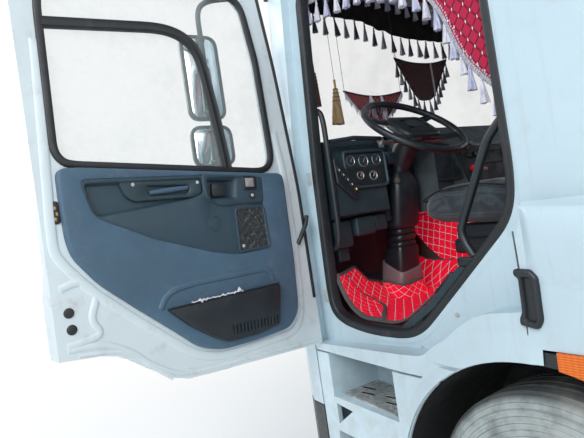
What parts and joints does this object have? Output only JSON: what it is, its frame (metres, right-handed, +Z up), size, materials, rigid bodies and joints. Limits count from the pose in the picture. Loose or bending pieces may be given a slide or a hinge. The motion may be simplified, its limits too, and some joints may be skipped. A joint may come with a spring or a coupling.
{
  "type": "decorated truck",
  "caption": "Forward-control flatbed truck: open driver's door, quilted cab decor, steered front wheels, twin rear wheels, folding dropsides and tilting cab.",
  "frame": {"origin": "Centre of the underside of the box round the whole truck as drawn, on the ground. The box includes the open driver's door on the -Y side, so the truck's own centre plane lies at y = +0.352 and its front axle at x = -2.014.", "axes": "+Z up. The truck's front faces -X, and the driver's side, with the open door, is on -Y. X is the longest extent."},
  "size_m": [6.7546, 3.6042, 2.69],
  "materials": {
    "cab_white": "satin",
    "frame_grey": "matt",
    "deck_metal": "satin",
    "galvanised": "satin",
    "board_alloy": "satin",
    "deck_wood": "matt",
    "cast": "matt",
    "tyre": "matt",
    "rim_paint": "satin",
    "trim_blue": "matt",
    "black_plastic": "matt",
    "dash_grey": "matt",
    "lamp": "gloss",
    "headlamp": "gloss",
    "glass": "clear",
    "seat_cloth": "matt",
    "quilt_red": "matt",
    "pennant_maroon": "matt"
  },
  "bodies": {
    "chassis": {"chassis_frame": "frame_grey", "guard_bars": "frame_grey", "drive_train": "cast", "front_axle": "cast", "rear_axle": "cast", "bumper": "black_plastic", "front_apron": "cab_white", "headlamps": "headlamp", "step_housings": "cab_white", "step_plates": "galvanised", "mudguards": "black_plastic", "fuel_tank": "board_alloy", "battery_box": "black_plastic", "exhaust": "frame_grey", "deck_floor": "deck_wood", "deck_frame": "deck_metal", "headboard": "board_alloy", "marker_lamps": "lamp"},
    "cab": {"cab_sides": "cab_white", "seats": "seat_cloth", "engine_tunnel": "cab_white", "cab_front": "cab_white", "cab_roof": "cab_white", "cab_rear_wall": "cab_white", "cab_floor": "cab_white", "cab_glass": "glass", "grille": "black_plastic", "dashboard": "dash_grey", "steering_column": "dash_grey", "floor_mat": "quilt_red", "grab_handles": "black_plastic", "mirrors": "black_plastic", "front_valance": "pennant_maroon", "windscreen_hangings": "pennant_maroon"},
    "door_left": {"door_left_shell": "cab_white", "door_left_trim": "trim_blue", "door_left_glass": "glass", "door_left_window_rubber": "black_plastic"},
    "door_right": {"door_right_shell": "cab_white", "door_right_trim": "trim_blue", "door_right_glass": "glass", "door_right_window_rubber": "black_plastic"},
    "steering_wheel": {"steering_wheel": "black_plastic"},
    "knuckle_left": {"knuckle_left": "cast"},
    "knuckle_right": {"knuckle_right": "cast"},
    "wheel_front_left": {"tyre_front_left": "tyre", "rim_front_left": "rim_paint"},
    "wheel_front_right": {"tyre_front_right": "tyre", "rim_front_right": "rim_paint"},
    "wheels_rear_left": {"tyres_rear_left": "tyre", "rims_rear_left": "rim_paint"},
    "wheels_rear_right": {"tyres_rear_right": "tyre", "rims_rear_right": "rim_paint"},
    "side_board_front_left": {"side_board_front_left": "board_alloy"},
    "side_board_front_right": {"side_board_front_right": "board_alloy"},
    "side_board_rear_left": {"side_board_rear_left": "board_alloy"},
    "side_board_rear_right": {"side_board_rear_right": "board_alloy"},
    "tailboard": {"tailboard": "board_alloy"}
  },
  "joints": [
    {"name": "door_left_hinge", "type": "hinge", "parent": "cab", "child": "door_left", "pos_m": [-3.05422, -0.75987, 1.36], "axis": [0, 0, 1], "range_deg": [0, 84]},
    {"name": "door_right_hinge", "type": "hinge", "parent": "cab", "child": "door_right", "pos_m": [-3.05422, 1.46413, 1.36], "axis": [0, 0, 1], "range_deg": [0, 84]},
    {"name": "cab_tilt", "type": "hinge", "parent": "chassis", "child": "cab", "pos_m": [-3.34422, 0.35213, 0.89], "axis": [0, -1, 0], "range_deg": [0, 50]},
    {"name": "steer_left", "type": "hinge", "parent": "chassis", "child": "knuckle_left", "pos_m": [-2.01422, -0.50787, 0.4475], "axis": [0, 0, 1], "range_deg": [-38, 38]},
    {"name": "steer_right", "type": "hinge", "parent": "chassis", "child": "knuckle_right", "pos_m": [-2.01422, 1.21213, 0.4475], "axis": [0, 0, 1], "range_deg": [-38, 38]},
    {"name": "steering_wheel_turn", "type": "hinge", "parent": "cab", "child": "steering_wheel", "pos_m": [-2.84522, -0.19787, 1.795], "axis": [0.6157, 0, 0.788], "range_deg": [-760, 760]},
    {"name": "front_left_spin", "type": "hinge", "parent": "knuckle_left", "child": "wheel_front_left", "pos_m": [-2.01422, -0.62287, 0.4475], "axis": [0, 1, 0], "continuous": true},
    {"name": "front_right_spin", "type": "hinge", "parent": "knuckle_right", "child": "wheel_front_right", "pos_m": [-2.01422, 1.32713, 0.4475], "axis": [0, 1, 0], "continuous": true},
    {"name": "rear_left_spin", "type": "hinge", "parent": "chassis", "child": "wheels_rear_left", "pos_m": [1.64579, -0.56287, 0.4475], "axis": [0, 1, 0], "continuous": true},
    {"name": "rear_right_spin", "type": "hinge", "parent": "chassis", "child": "wheels_rear_right", "pos_m": [1.64579, 1.26713, 0.4475], "axis": [0, 1, 0], "continuous": true},
    {"name": "board_front_left_hinge", "type": "hinge", "parent": "chassis", "child": "side_board_front_left", "pos_m": [-0.24721, -0.90187, 1.122], "axis": [1, 0, 0], "range_deg": [0, 178]},
    {"name": "board_front_right_hinge", "type": "hinge", "parent": "chassis", "child": "side_board_front_right", "pos_m": [-0.24721, 1.60613, 1.122], "axis": [-1, 0, 0], "range_deg": [0, 178]},
    {"name": "board_rear_left_hinge", "type": "hinge", "parent": "chassis", "child": "side_board_rear_left", "pos_m": [2.12878, -0.90187, 1.122], "axis": [1, 0, 0], "range_deg": [0, 178]},
    {"name": "board_rear_right_hinge", "type": "hinge", "parent": "chassis", "child": "side_board_rear_right", "pos_m": [2.12878, 1.60613, 1.122], "axis": [-1, 0, 0], "range_deg": [0, 178]},
    {"name": "tailboard_hinge", "type": "hinge", "parent": "chassis", "child": "tailboard", "pos_m": [3.37478, 0.35213, 1.122], "axis": [0, 1, 0], "range_deg": [0, 178]}
  ],
  "couplings": [
    {"joint": "steer_right", "follows": "steer_left", "ratio": 1},
    {"joint": "steering_wheel_turn", "follows": "steer_left", "ratio": 20}
  ]
}
